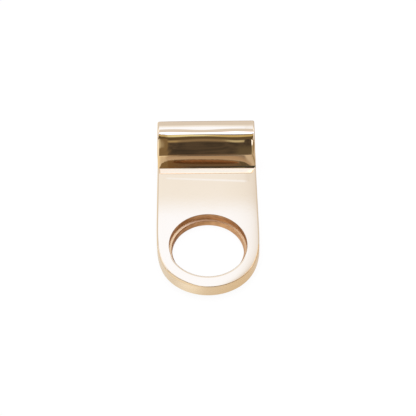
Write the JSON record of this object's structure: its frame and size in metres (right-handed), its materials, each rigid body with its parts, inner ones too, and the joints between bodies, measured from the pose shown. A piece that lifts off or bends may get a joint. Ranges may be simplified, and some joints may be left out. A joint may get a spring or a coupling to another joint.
{
  "type": "cylinder pull",
  "caption": "Polished brass door pull: flat plate with a half-round end and a stepped bore for a rim cylinder, and a finger lip that rises from a crease and curls away.",
  "frame": {"origin": "on the axis of the stepped bore, at the flat back that sits on the door", "axes": "+Z out of the door along the bore, +Y along the plate from the bore towards the finger lip, +X across the plate"},
  "size_m": [0.0442, 0.0834, 0.0192],
  "materials": {
    "polished_brass": "mirror polished front, linished sides, machined bore"
  },
  "bodies": {
    "root": {"cylinder_pull": "polished_brass"}
  },
  "joints": []
}
